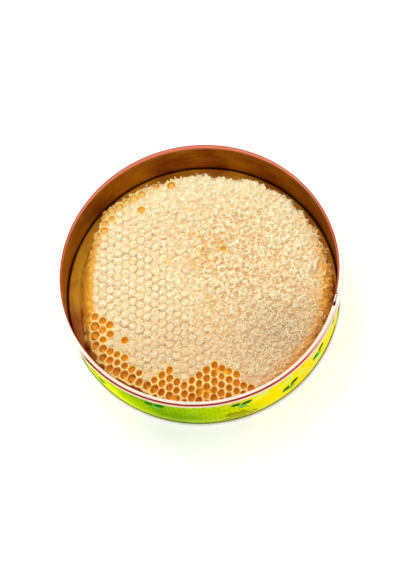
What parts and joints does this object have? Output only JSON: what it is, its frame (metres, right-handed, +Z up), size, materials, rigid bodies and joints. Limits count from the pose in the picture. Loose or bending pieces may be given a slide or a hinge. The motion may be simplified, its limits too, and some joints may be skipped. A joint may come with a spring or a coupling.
{
  "type": "honeycomb piece",
  "caption": "Round slab of natural comb honey, mostly capped with some open cells, lying flat in its own shallow open printed tin.",
  "frame": {"origin": "centre of the tin's base, where it rests", "axes": "+Z up out of the open tin; -Y towards the side with the open cells at its foot; the tin's side seam is on the +X side"},
  "size_m": [0.2012, 0.2, 0.0459],
  "materials": {
    "comb_wax": "pale cream beeswax cappings over honey, satin",
    "honey": "amber honey in the open cells and as a thin film, wet gloss",
    "tin_print": "printed tinplate, green to yellow with red and cream rim lines, gloss varnish",
    "tin_lacquer": "gold lacquer on tinplate, satin gloss"
  },
  "bodies": {
    "root": {"comb": "comb_wax", "tin_body": "tin_print", "tin_bottom": "tin_lacquer"}
  },
  "joints": []
}
